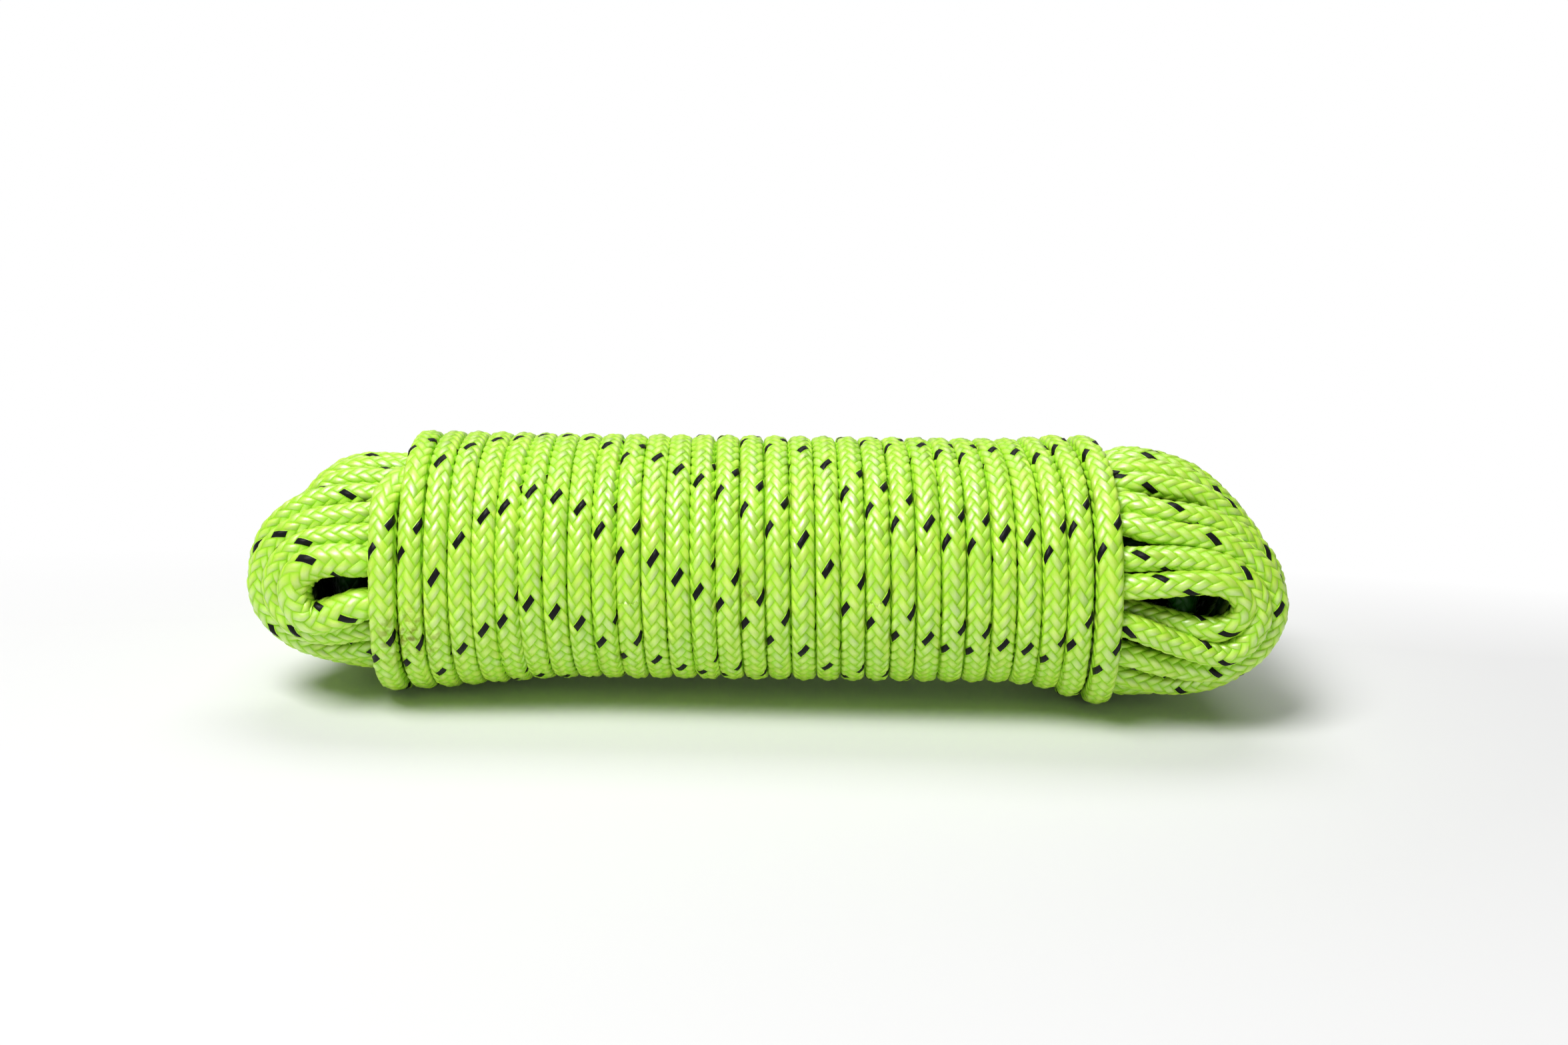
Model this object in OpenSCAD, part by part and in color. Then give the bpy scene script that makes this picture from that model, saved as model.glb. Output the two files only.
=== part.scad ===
// A hank of braided cord, folded into long loops and bound round its middle by
// close turns of the same cord. X runs along the hank, the front faces -Y, and
// the origin lies under the middle of the hank on the ground.

/* [Cord] */
// Diameter of the cord, and the step between turns that touch
cord_d = 6; // [4:0.5:8]
// Gap kept between neighbouring turns
turn_gap = 0.5; // [0.45:0.05:0.8]
// Length of each heat-sealed tip
tip_len = 4; // [2:0.5:6]

/* [Loops] */
// Loops in the outer layer of the hank
loops = 10; // [9:1:11]
// Extra room between the runs round the waist
run_gap = 0.6; // [0.4:0.05:1.5]
// Extra room between the ends of the loops
end_gap = 0.8; // [0.6:0.05:1.5]
// Straight stretch of the longest loops past the wrapping at the left end
left_straight = 3; // [2:0.5:30]
// Straight stretch of the longest loops past the wrapping at the right end
right_straight = 14; // [6:0.5:40]
// Swell of the loops past the waist at the left end
left_swell = 2.6; // [2:0.1:5]
// Swell of the loops past the waist at the right end
right_swell = 5; // [2:0.2:6]
// Sag of the left end
left_sag = 1; // [0:0.2:2]
// Sag of the right end
right_sag = 2.4; // [0:0.2:3]
// Opening of the front loop
eye_h = 7; // [5:0.5:8]
// How far the front and back loops stay short of the middle ones, in cord diameters
short_by = 2; // [1.9:0.1:2.3]

/* [Wrapping] */
// Turns in the wrapping
wrap_turns = 30; // [16:1:36]
// Gap between the wrapping and the runs under it
lay_gap = 0.45; // [0.4:0.05:1]
// Swell of the wrapping at its left end
left_rise = 1.6; // [0:0.1:2]
// Swell of the wrapping at its right end
right_rise = 1.8; // [0:0.1:2.5]
// Turns over which the left end swells
left_taper = 5; // [3:1:6]
// Turns over which the right end swells
right_taper = 4; // [3:1:6]

/* [Hidden] */

lime = [0.66, 0.9, 0.31];
pale_lime = [0.74, 0.93, 0.45];
sealed_green = [0.42, 0.6, 0.2];

tube_sides = 6;
turn_rings = 16;
cap_steps = 6;
arc_steps = 60;
core_steps = 12;

tube_d = cord_d - turn_gap;
slots = 2 * loops + 1;
slot_angle = 360 / slots;
waist_r = slots * (cord_d + run_gap) / (2 * PI);
lay_step = cord_d + lay_gap;
wrap_len = wrap_turns * cord_d;
wrap_left = -wrap_len / 2;
wrap_right = wrap_len / 2;
flare_len = 2.5 * cord_d;
climb_left = wrap_left + (left_taper + 1) * cord_d;
climb_right = wrap_right - (right_taper + 1) * cord_d;
start_x = climb_right + tip_len + turn_gap;
buried = 3 * cord_d;
join_x = wrap_left + buried;
tuck_x = wrap_right - buried;
flat_cut = cord_d / 10;
cap_stretch = 0.95;
cap_spare = cord_d / 2;
cap_share = 0.93;

// Smooth step from 0 to 1
function ease(t) = let (s = min(1, max(0, t))) s * s * (3 - 2 * s);

// Radius of the ring of runs, from the waist out to the swollen ends
function girth(x) =
    let (
        left_part = 1 - (x - wrap_left) / (left_taper * cord_d),
        right_part = 1 - (wrap_right - x) / (right_taper * cord_d)
    )
    waist_r
        + left_rise * ease(left_part)
        + right_rise * ease(right_part)
        + (left_swell - left_rise) * ease((wrap_left - x) / flare_len)
        + (right_swell - right_rise) * ease((x - wrap_right) / flare_len);

// How far the middle of the ring has sunk
function sag(x) =
    left_sag * ease((wrap_left - x) / flare_len)
        + right_sag * ease((x - wrap_right) / flare_len);

// Point at x on the ring of runs, raised by a radial step
function ring_point(x, angle, step = 0) =
    let (r = girth(x) + step)
    [x, r * cos(angle), r * sin(angle) - sag(x)];

// Angle of a run once the loops have opened, from its angle in the waist
function open_angle(slot, r) =
    let (
        front = 180 - slot_angle / 2,
        front_open = 180 - asin((eye_h + cord_d) / 2 / r),
        part = (slot * slot_angle - 90) / (front - 90)
    )
    90 + part * (front_open - 90);

// Half the spread of the loop ends from front to back, which gives each end its room
dome = short_by * cord_d;
half_row = (loops - 1) / 2 * (cord_d + end_gap);
fan = sqrt(2 * pow(2 * half_row / PI, 2) - dome * dome);

// Lengths along the quarter ellipse on which the loop ends lie, against its angle
arc_table = [
    for (i = 0, len = 0; i <= arc_steps;
         len = len + norm([fan * (cos(90 * i / arc_steps) - cos(90 * (i + 1) / arc_steps)),
                           dome * (sin(90 * (i + 1) / arc_steps) - sin(90 * i / arc_steps))]),
         i = i + 1)
    [len, 90 * i / arc_steps]
];
arc_len = arc_table[arc_steps][0];

// Where a loop ends: its place from front to back, and how far it stays short
function loop_end(slot) =
    let (
        part = (2 * slot - 1 - loops) / (loops - 1),
        angle = lookup(arc_len * (1 - abs(part)), arc_table)
    )
    [-sign(part) * fan * cos(angle), dome * (1 - sin(angle))];

// Length of the round end of a loop of a given half height
function cap_length(half_h) = cap_stretch * half_h + cap_spare;

// How far the middle of the cord reaches past the wrapping in the longest loops
left_reach = left_straight + cap_length(waist_r + left_swell);
right_reach = right_straight + cap_length(waist_r + right_swell);

// One end of a loop, from its upper run round to its lower run
function loop_cap(slot, side) =
    let (
        edge = side < 0 ? wrap_left : wrap_right,
        reach = side < 0 ? left_reach : right_reach,
        foot = ring_point(edge + side * flare_len, 0),
        r = foot[1],
        angle = open_angle(slot, r),
        half_h = r * sin(angle),
        side_y = r * cos(angle),
        end = loop_end(slot),
        tip = edge + side * (reach - end[1]),
        cap = min(cap_share * (reach - end[1]), cap_length(half_h))
    )
    [
        for (i = [0:cap_steps])
        let (turn = 180 * i / cap_steps, s = sin(turn))
        [tip - side * cap * (1 - s), side_y + (end[0] - side_y) * s * s, foot[2] + half_h * cos(turn)]
    ];

// The long way round: each loop climbs to the next along its upper run
hank_path = [
    ring_point(start_x, loops * slot_angle),
    ring_point(start_x + cord_d, loops * slot_angle),
    for (slot = [loops:-1:1])
    each [
        if (slot < loops)
        each [
            ring_point(wrap_left, (slot + 1) * slot_angle),
            ring_point(climb_left, (slot + 1) * slot_angle),
            ring_point((climb_left + climb_right) / 2, (slot + 0.5) * slot_angle),
            ring_point(climb_right, slot * slot_angle)
        ],
        ring_point(wrap_right, slot * slot_angle),
        each loop_cap(slot, 1),
        ring_point(wrap_right, -slot * slot_angle),
        ring_point(climb_right, -slot * slot_angle),
        if (slot > 1)
        each [
            ring_point(climb_left, -slot * slot_angle),
            ring_point(wrap_left, -slot * slot_angle),
            for (i = [cap_steps:-1:0]) loop_cap(slot, -1)[i]
        ]
    ],
    ring_point(join_x, -slot_angle) + [cord_d, 0, 0],
    ring_point(join_x, -slot_angle)
];

// Lead-in and tuck of the wrapping: place in cord diameters past its edge,
// angle, and height in layers over the runs
lead_marks = [
    [-1.2, -slot_angle, 0], [-0.2, -slot_angle, 0.1], [0.6, -15, 0.5], [1.2, -6, 0.95],
    [1.4, 6, 1.1], [1.2, 20, 1.12], [0.8, 36, 1.1], [0.4, 54, 1.05], [0, 74, 1]
];
tuck_marks = [
    [0, -90, 1], [0.4, -72, 1.05], [0.8, -54, 1.1], [1.2, -38, 1.12], [1.4, -24, 1.1],
    [1.2, -11, 0.95], [0.6, -2, 0.5], [-0.2, 0, 0.1], [-1.2, 0, 0]
];
helix_from = ceil(96 / 360 * turn_rings);
helix_to = floor((wrap_turns - 112 / 360) * turn_rings);

function wrap_point(i) =
    let (angle = 360 * i / turn_rings, x = wrap_left + cord_d * i / turn_rings)
    ring_point(x, angle, lay_step);

wrap_path = [
    ring_point(join_x, -slot_angle),
    ring_point(join_x, -slot_angle) - [cord_d, 0, 0],
    for (mark = lead_marks) ring_point(wrap_left - mark[0] * cord_d, mark[1], mark[2] * lay_step),
    for (i = [helix_from:helix_to]) wrap_point(i),
    for (mark = tuck_marks) ring_point(wrap_right + mark[0] * cord_d, mark[1], mark[2] * lay_step),
    ring_point(tuck_x, 0) + [cord_d, 0, 0],
    ring_point(tuck_x, 0)
];

// Distance from a point to the stretch between two others
function point_gap(p, a, b) =
    let (ab = b - a, t = min(1, max(0, (p - a) * ab / (ab * ab))))
    norm(p - a - t * ab);

// Length of a path up to each of its points
function path_run(path) = [
    for (i = 0, len = 0; i < len(path);
         len = len + (i + 1 < len(path) ? norm(path[i + 1] - path[i]) : 0), i = i + 1)
    len
];

// Least gap of a tube to itself, between stretches more than three diameters apart
function least_gap(path) =
    let (run = path_run(path))
    min([
        for (i = [0:len(path) - 1], j = [i + 1:1:len(path) - 2])
        if (run[j] - run[i] > 3 * cord_d && norm(path[i] - path[j]) < 4 * cord_d)
        point_gap(path[i], path[j], path[j + 1])
    ]) - tube_d;

// Ring of points round a path, flat side outwards from the reference direction
function tube_ring(path, i, ref) =
    let (
        last = len(path) - 1,
        ahead = path[min(last, i + 1)] - path[i],
        behind = path[i] - path[max(0, i - 1)],
        run = i == 0 ? ahead : i == last ? behind : ahead / norm(ahead) + behind / norm(behind),
        along = run / norm(run),
        out_raw = ref - (ref * along) * along,
        out = out_raw / norm(out_raw),
        across = cross(along, out)
    )
    [
        for (k = [0:tube_sides - 1])
        let (turn = 360 * k / tube_sides)
        path[i] + tube_d / 2 * (across * cos(turn) + out * sin(turn))
    ];

// Closed tube with triangular faces along a path; refs gives each ring's outward side
module tube(path, refs) {
    n = tube_sides;
    rings = [for (i = [0:len(path) - 1]) each tube_ring(path, i, refs[i])];
    last = (len(path) - 1) * n;
    walls = [
        for (i = [0:len(path) - 2], k = [0:n - 1])
        let (a = i * n + k, b = i * n + (k + 1) % n)
        each [[a, a + n, b], [b, a + n, b + n]]
    ];
    start_cap = [for (k = [1:n - 2]) [0, k, k + 1]];
    end_cap = [for (k = [1:n - 2]) [last, last + k + 1, last + k]];
    polyhedron(points = rings, faces = concat(walls, start_cap, end_cap), convexity = 10);
}

// Everything is modelled round the axis of the waist and then seated on the ground
lowest = min([for (p = concat(hank_path, wrap_path)) p[2]]) - tube_d / 2 * cos(30);
far_y = max([for (p = concat(hank_path, wrap_path)) p[1]]);
near_y = min([for (p = concat(hank_path, wrap_path)) p[1]]);
seat = [
    (left_reach - right_reach) / 2,
    -(far_y + near_y) / 2,
    -lowest - flat_cut
];
ground = 4 * (wrap_len + left_reach + right_reach);

module seated() {
    intersection() {
        translate(seat) children();
        translate([-ground / 2, -ground / 2, 0]) cube(ground);
    }
}

module hank_loops() {
    color(lime) seated() tube(hank_path, [for (p = hank_path) [0, 1, 0]]);
}

// The loops inside the outer layer, as one plain body
function core_profile(side) =
    let (
        edge = side < 0 ? wrap_left : wrap_right,
        reach = side < 0 ? left_reach : right_reach,
        swell = side < 0 ? left_swell : right_swell,
        droop = side < 0 ? left_sag : right_sag,
        inset = tube_d + turn_gap,
        long = reach - inset,
        high = waist_r + swell - droop - inset / 2
    )
    [
        for (i = [0:core_steps])
        let (turn = 90 * i / core_steps)
        [min(waist_r - tube_d / 2 - turn_gap, high * sin(turn)), edge + side * long * cos(turn)]
    ];

module hank_core() {
    color(pale_lime)
        translate(seat)
            rotate([0, 90, 0])
                rotate_extrude($fn = 64)
                    polygon(concat(core_profile(1), [for (i = [core_steps:-1:0]) core_profile(-1)[i]]));
}

module wrap_winding() {
    color(lime) seated() tube(wrap_path, [for (p = wrap_path) [0, p[1], p[2]]]);
}

// Melted end of the cord, facing -X from the given point
module sealed_tip(place) {
    edge_r = tube_d / 4;
    color(sealed_green)
        translate(seat + place)
            rotate([0, -90, 0])
                rotate_extrude($fn = 32)
                    union() {
                        square([tube_d / 2, tip_len - edge_r]);
                        square([tube_d / 2 - edge_r, tip_len]);
                        intersection() {
                            translate([tube_d / 2 - edge_r, tip_len - edge_r]) circle(edge_r, $fn = 24);
                            square([tube_d / 2, tip_len]);
                        }
                    }
}

module start_tip() {
    sealed_tip(ring_point(start_x, loops * slot_angle));
}

module tail_tip() {
    sealed_tip(ring_point(tuck_x, 0));
}

echo(str("least gap in the loops ", least_gap(hank_path), " mm"));
echo(str("least gap in the wrapping ", least_gap(wrap_path), " mm"));
echo(str("cord in the loops ", path_run(hank_path)[len(hank_path) - 1], " mm, in the wrapping ",
         path_run(wrap_path)[len(wrap_path) - 1], " mm"));

hank_loops();
hank_core();
wrap_winding();
start_tip();
tail_tip();
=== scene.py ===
import math

import bpy
import numpy as np
from mathutils import Matrix, Vector


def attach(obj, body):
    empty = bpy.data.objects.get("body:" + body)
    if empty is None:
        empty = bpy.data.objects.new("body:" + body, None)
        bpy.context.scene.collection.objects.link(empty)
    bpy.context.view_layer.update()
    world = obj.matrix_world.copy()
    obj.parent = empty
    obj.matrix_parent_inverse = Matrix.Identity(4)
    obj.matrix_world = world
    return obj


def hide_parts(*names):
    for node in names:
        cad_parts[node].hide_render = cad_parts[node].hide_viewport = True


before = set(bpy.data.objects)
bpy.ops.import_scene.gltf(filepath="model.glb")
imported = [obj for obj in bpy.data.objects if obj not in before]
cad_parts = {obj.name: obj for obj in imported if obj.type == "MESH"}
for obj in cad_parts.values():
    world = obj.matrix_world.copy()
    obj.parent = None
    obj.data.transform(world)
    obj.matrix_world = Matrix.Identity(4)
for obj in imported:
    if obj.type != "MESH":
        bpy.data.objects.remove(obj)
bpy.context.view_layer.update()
print("scene: frame loaded,", len(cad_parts), "nodes")

# lengths below are in cord diameters, and are written out in metres
cord = {
    "diameter": 0.006,
    "lead": 4.40,  # one full turn of a strand round the cord
    "relief": 0.086,  # how far the strands stand out of the creases
    "pathStep": 0.45,  # between the points given for its middle line
}
unit = cord["diameter"]


# camera

shot = {
    "side": 0.43,
    "distance": 92.0,
    "elevation": 19.5,
    "aimUp": 0.95,  # degrees by which it looks over the hank's middle line
    "roll": 1.35,
    "axis": 5.75,  # height of that middle line
    "lens": 50.0,
    "sensor": 36.0,
}


def addCamera():
    lift = math.radians(shot["elevation"])
    pitch = math.radians(90 - shot["elevation"] + shot["aimUp"])
    data = bpy.data.cameras.new("camera")
    data.lens = shot["lens"]
    data.sensor_width = shot["sensor"]
    data.clip_start = 0.01
    data.clip_end = 20
    camera = bpy.data.objects.new("camera", data)
    bpy.context.scene.collection.objects.link(camera)
    turned = Matrix.Rotation(pitch, 4, "X") @ Matrix.Rotation(math.radians(shot["roll"]), 4, "Z")
    place = Vector((
        shot["side"],
        -shot["distance"] * math.cos(lift),
        shot["axis"] + shot["distance"] * math.sin(lift),
    ))
    camera.matrix_world = Matrix.Translation(place * unit) @ turned
    bpy.context.scene.camera = camera


addCamera()


# routes of the cord

binding = {
    "turns": 30,
    "firstTurn": -15.55,  # place of the first turn along the hank
    "firstPitch": 0.973,
    "lastPitch": 1.027,
    "before": 0.13,  # parts of a turn before the first, and after the last
    "after": 0.30,
    "perTurn": 40,  # points worked out in each turn
    "radius": 4.60,
    "depth": 0.22,  # the bundle is a little deeper than it is high
    "leftRise": 0.33,  # how much fuller the binding is at its ends
    "leftTaper": 8.5,
    "rightRise": 0.46,
    "rightTaper": 4.5,
    # place, angle and radius of the points before the first turn, and after the last
    "leadIn": [(-10.5, 70, 3.95), (-12.3, 71, 4.10), (-13.5, 70, 4.28), (-14.3, 68, 4.42),
               (-14.88, 64.5, 4.60), (-15.3, 58.5, 4.78)],
    "tuck": [(13.80, -124, 5.00), (13.95, -138, 4.92), (13.92, -151, 4.72), (13.60, -162, 4.42),
             (12.95, -169, 4.10), (12.15, -171.5, 3.85)],
    "tail": [(11.5, 3.70, 5.37), (10.895, 3.645, 5.35)],  # last points, at the sealed end
    "half": 0.478,  # half the width of the wound cord, in its creases
    "endSwell": 0.045,  # the outermost turns have room to swell
    "squareness": 2.8,
}
bundle = {
    "height": 5.80,
    "slope": 0.012,
    "leftDrop": 0.29,  # how far the ends of the hank sink
    "leftDropLength": 8.5,
    "rightDrop": 0.38,
    "rightDropLength": 3.0,
    "ring": 3.95,  # radius on which the outer runs lie under the binding
}
lastTurn = binding["turns"] - 1
# the first turns rise where they pass over the lead-in
lump = {
    "height": 0.25,
    "angle": 64,  # degrees up from the front
    "spread": 22,
    "until": 5.2,  # how far from the edge of the binding it has died away
    "fade": 1.5,
    "fromTurn": 0.2,
    "growth": 0.3,
}
# a turn, and how far it stands off its even place along the hank: below, in front, above, on top
sway = [
    (0, -0.32, 0.02, 0.02, -0.10), (1, -0.06, 0.14, 0.22, 0.40), (2, -0.02, 0.18, 0.27, 0.48),
    (3, 0.04, 0.16, 0.25, 0.49), (5, 0.02, 0.03, 0.20, 0.47), (7, 0.00, 0.00, 0.12, 0.33),
    (10, 0.00, 0.00, 0.05, 0.20), (13, 0.00, 0.00, 0.00, 0.03), (18, 0.00, 0.00, 0.00, 0.03),
    (22, 0.00, 0.00, -0.02, -0.15), (24, -0.03, 0.00, -0.05, -0.32), (26, -0.06, -0.02, -0.10, -0.50),
    (28, -0.10, -0.05, -0.08, -0.62), (29, 0.06, 0.06, 0.05, -0.40),
]
# angles up from the front, which of those four counts there, and how much
swayPlaces = [(-180, 0, 0), (-95, 0, 0.6), (-50, 0, 1), (0, 1, 1), (62, 2, 1), (105, 3, 1), (150, 3, 0.3),
              (180, 3, 0)]


def ease(t):
    t = np.clip(t, 0, 1)
    return t * t * (3 - 2 * t)


def turnPlace(turn):
    grow = (binding["lastPitch"] - binding["firstPitch"]) / lastTurn
    return binding["firstTurn"] + binding["firstPitch"] * turn + grow * turn * turn / 2


edgeLeft = turnPlace(0) - 0.5
edgeRight = turnPlace(lastTurn) + 0.5


def axisHeight(x):
    left = ease((edgeLeft + bundle["leftDropLength"] - x) / bundle["leftDropLength"])
    right = ease((x - edgeRight + bundle["rightDropLength"]) / bundle["rightDropLength"])
    level = bundle["height"] + bundle["slope"] * np.clip(x, edgeLeft, edgeRight)
    return level - bundle["leftDrop"] * left - bundle["rightDrop"] * right


def windRadius(x):
    left = ease(1 - (x - edgeLeft) / binding["leftTaper"])
    right = ease(1 - (edgeRight - x) / binding["rightTaper"])
    return binding["radius"] + binding["leftRise"] * left + binding["rightRise"] * right


def roundBundle(x, angle, radius):
    # a point on the bundle, its angle in degrees upwards from the front
    a = np.radians(angle)
    y = -(radius + binding["depth"]) * np.cos(a)
    return np.stack([x + 0 * a, y, axisHeight(x) + radius * np.sin(a)], -1)


def smoothPath(knots, step=0.1, parts=16):
    # a centripetal Catmull-Rom curve, with points one step apart
    knots = np.asarray(knots, float)
    knots = np.vstack([2 * knots[0] - knots[1], knots, 2 * knots[-1] - knots[-2]])
    pieces = []
    for p0, p1, p2, p3 in zip(knots, knots[1:], knots[2:], knots[3:]):
        t1 = np.linalg.norm(p1 - p0) ** 0.5
        t2 = t1 + np.linalg.norm(p2 - p1) ** 0.5
        t3 = t2 + np.linalg.norm(p3 - p2) ** 0.5
        t = np.linspace(t1, t2, parts + 1)[:-1, None]
        a1 = (t1 - t) / t1 * p0 + t / t1 * p1
        a2 = (t2 - t) / (t2 - t1) * p1 + (t - t1) / (t2 - t1) * p2
        a3 = (t3 - t) / (t3 - t2) * p2 + (t - t2) / (t3 - t2) * p3
        b1 = (t2 - t) / t2 * a1 + t / t2 * a2
        b2 = (t3 - t) / (t3 - t1) * a2 + (t - t1) / (t3 - t1) * a3
        pieces.append((t2 - t) / (t2 - t1) * b1 + (t - t1) / (t2 - t1) * b2)
    pieces.append(knots[-2][None])
    return evenPoints(np.vstack(pieces), step)


def runLength(points):
    # how far along the path each of its points lies
    return np.concatenate([[0], np.cumsum(np.linalg.norm(np.diff(points, axis=0), axis=1))])


def evenPoints(points, step):
    run = runLength(points)
    at = np.linspace(0, run[-1], max(2, int(round(run[-1] / step)) + 1))
    return np.stack([np.interp(at, run, points[:, k]) for k in range(3)], -1)


def smoothed(values, reach):
    # an average over the points up to reach on both sides, with soft weights
    weights = np.hanning(2 * reach + 3)
    padded = np.pad(values, reach, mode="edge")
    return np.convolve(padded, weights[1:-1] / weights.sum(), mode="valid")


# How the loops open past the binding. Each row is one loop, from the front one backwards:
# angle of the upper leg, place and height of the crest, reach and height of the tip,
# place and height of the trough, angle of the lower leg, how far that leg lies behind
leftEnd = {
    "side": -1,
    "centre": 5.28,  # height from which the crests, tips and troughs are measured
    "ahead": 0.38,  # how far the front loop stands before the others
    "ring": 4.0,  # radius of the ring of loops
    "flareFrom": -0.8,  # where the legs leave the binding for that ring
    "flareTo": 0.6,
    "front": [
        (21.5, 1.6, 1.48, 3.20, 0.20, 2.4, -0.94, -4.0, 0.0),
        (34.5, 1.5, 2.20, 4.18, 0.02, 2.2, -1.86, -23.0, 0.0),
        (48.0, 1.0, 2.92, 4.95, -0.20, 1.6, -2.86, -42.0, 0.0),
    ],
    # angles of the fourth loop's legs and of the last loop's, and the same for those between
    "upper": 61.0,
    "lower": -57.0,
    "last": 163.0,
    "reach": [5.05, 4.02, 3.78, 3.64, 3.55, 3.45, 3.32, 3.10],
    "crest": 1.1,
    "tip": 0.15,
}
rightEnd = {
    "side": 1,
    "centre": 5.58,
    "ahead": 0.12,
    "ring": 4.70,
    "flareFrom": -1.0,
    "flareTo": 0.8,
    "front": [
        (12.8, 3.5, 1.30, 5.06, 0.22, 3.8, -0.84, -4.2, 1.15),
        (26.0, 2.4, 2.12, 5.72, -0.03, 4.2, -1.85, -7.2, -0.15),
        (43.6, 1.3, 3.04, 6.50, -0.02, 4.0, -2.80, -26.0, 0.0),
        (56.0, 1.3, 3.68, 6.62, -0.08, 3.0, -3.85, -44.5, 0.0),
    ],
    "upper": 68.5,
    "lower": -61.0,
    "last": 163.0,
    "reach": [6.20, 6.00, 5.80, 5.60, 5.42, 5.25, 5.02, 4.65],
    "crest": 1.1,
    "tip": 0.22,
}
legPlaces = [-3.0, -2.0, -1.0, -0.3, 0.4]  # a leg's points, from under the binding to past its edge
troughBehind = 0.4  # how much of the lower leg's lag the trough has


def loopRows(end, count):
    rows = list(end["front"])
    spread = count - len(rows) - 1
    for k in range(spread + 1):
        up = end["upper"] + (end["last"] - end["upper"]) * k / spread
        down = end["lower"] - (end["last"] + end["lower"]) * k / spread
        high = end["ring"] * math.sin(math.radians(up))
        low = end["ring"] * math.sin(math.radians(down))
        reach = end["reach"][min(k, len(end["reach"]) - 1)]
        rows.append((up, end["crest"], high, reach, end["tip"], end["crest"], low, down, 0.0))
    return rows


def loopPoints(end, row, under, inset=0.0):
    # one open end of a loop, from its upper leg round to its lower leg
    up, crestAt, crest, reach, tip, troughAt, trough, down, behind = row
    side = end["side"]
    edge = edgeLeft if side < 0 else edgeRight
    ring = end["ring"] - inset
    ahead = end["ahead"] if row is end["front"][0] else 0.0

    def leg(angle, s, back):
        flare = ease((s - end["flareFrom"]) / (end["flareTo"] - end["flareFrom"]))
        r = under + (ring - under) * flare
        level = axisHeight(edge + side * s) * (1 - flare) + end["centre"] * flare
        a = math.radians(angle)
        front = -(r + binding["depth"]) * math.cos(a) + (back - ahead) * flare
        return [edge + side * s, front, level + r * math.sin(a)]

    def depthAt(height, back, angle):
        # on the ring, or just in front of its middle where the loop is higher than the ring
        flat = math.sqrt(max(0.0004, ring ** 2 - height ** 2))
        towards = math.cos(math.radians(angle))
        return -math.copysign(flat, towards) - binding["depth"] * towards + back - ahead

    def bow(turns, at, height, here, there):
        # between the tip and a crest or trough
        curve = []
        for turn in turns:
            s, c = math.sin(math.radians(turn)), math.cos(math.radians(turn))
            y = here + (there - here) * (1 - c) / 2
            z = end["centre"] + tip + (height - tip) * c
            curve.append([edge + side * (at + (reach - at) * s), y, z])
        return curve

    yUp = depthAt(crest, 0, up)
    yDown = depthAt(trough, behind * troughBehind, down)
    points = [leg(up, s, 0) for s in legPlaces]
    points += bow((0, 30, 60, 90), crestAt, crest, yUp, yDown)
    points += bow((60, 30, 0), troughAt, trough, yDown, yUp)
    points += [leg(down, s, behind) for s in reversed(legPlaces)]
    return np.array(points)


def hiddenRun(start, startAngle, finish, finishAngle, under, count=8):
    # a run under the binding, from one end of the bundle to the other
    x = np.linspace(start[0], finish[0], count + 2)[1:-1]
    angle = np.linspace(startAngle, finishAngle, count + 2)[1:-1]
    return roundBundle(x, angle, under + 0 * x)


def windingPath():
    turn = np.arange(-binding["before"], lastTurn + binding["after"], 1 / binding["perTurn"])
    angle = -360 * turn
    facing = np.mod(angle + 180, 360) - 180
    number, *offsets = np.array(sway).T
    offsets = [np.interp(turn + facing / 360, number, offset) for offset in offsets]
    around = np.stack([share * offsets[which] for _, which, share in swayPlaces])
    place = np.interp(facing, [angle for angle, _, _ in swayPlaces], np.arange(len(swayPlaces)))
    left = np.minimum(place.astype(int), len(swayPlaces) - 2)
    each = np.arange(len(turn))
    sideways = around[left, each] + (place - left) * (around[left + 1, each] - around[left, each])
    x = turnPlace(turn) + smoothed(sideways, 3)
    near = (np.mod(angle + 180 - lump["angle"], 360) - 180) / lump["spread"]
    rise = lump["height"] * np.exp(-near ** 2) * ease((edgeLeft + lump["until"] - x) / lump["fade"])
    rise = rise * ease((turn - lump["fromTurn"]) / lump["growth"])
    turns = roundBundle(x, angle, windRadius(x) + rise)
    start = [roundBundle(np.array(a), b, c) for a, b, c in binding["leadIn"]]
    finish = [roundBundle(np.array(a), b - 360 * lastTurn, c) for a, b, c in binding["tuck"]]
    points = smoothPath(np.vstack([start, turns, finish + binding["tail"]]))
    return points, start[0]


# how one cord fills the loops, from its sealed end to the binding
folds = {
    "start": [(9.65, -3.713, 5.897), (10.1, -3.72, 5.90)],
    # numbers of the loops it comes to, at the right, the left, the right and so on
    "order": [1, 1, 2, 2, 3, 3, 4, 4, 5, 5, 7, 7, 9, 9, 11, 11, 12, 10, 10, 8, 8, 6, 6],
    "rightLoops": 12,
    "leftLoops": 11,
    "leadAngle": 68,  # at which it comes to the lead-in of the binding
    "frontParts": 18,  # loop ends and hidden runs that belong to the front piece
}


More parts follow.
